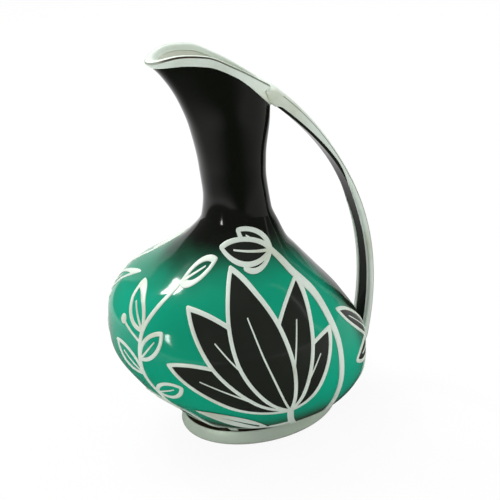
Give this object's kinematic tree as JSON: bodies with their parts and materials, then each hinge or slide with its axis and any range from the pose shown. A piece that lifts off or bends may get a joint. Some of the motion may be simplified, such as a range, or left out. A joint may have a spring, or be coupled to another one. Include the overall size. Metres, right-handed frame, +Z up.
{
  "type": "pouring jug",
  "caption": "Glazed porcelain jug with a low round belly, slender neck, slanting spout and one tall strap handle, overlaid with silver bands, flowers and leaves.",
  "frame": {"origin": "centre of the foot ring on the surface that the jug stands on", "axes": "+Z up, -X towards the spout, +X towards the handle, Y across the jug, which is alike on both sides of the XZ plane"},
  "size_m": [0.1384, 0.1196, 0.1945],
  "materials": {
    "jug_glaze": "glossy green glaze, shaded to black at the neck",
    "handle_glaze": "glossy black glaze",
    "black_glaze": "glossy black glaze",
    "silver": "polished fine silver, lightly tarnished"
  },
  "bodies": {
    "root": {"jug_body": "jug_glaze", "handle": "handle_glaze", "rim_band": "silver", "handle_band": "silver", "handle_root_band": "silver", "foot_band": "silver", "near_bloom_silver": "silver", "near_bloom_petals": "black_glaze", "near_bud_silver": "silver", "near_bud_petals": "black_glaze", "near_spray_silver": "silver", "near_root_leaves_silver": "silver", "near_root_leaves_black": "black_glaze", "far_bloom_silver": "silver", "far_bloom_petals": "black_glaze", "far_bud_silver": "silver", "far_bud_petals": "black_glaze", "far_spray_silver": "silver", "far_root_leaves_silver": "silver", "far_root_leaves_black": "black_glaze"}
  },
  "joints": []
}
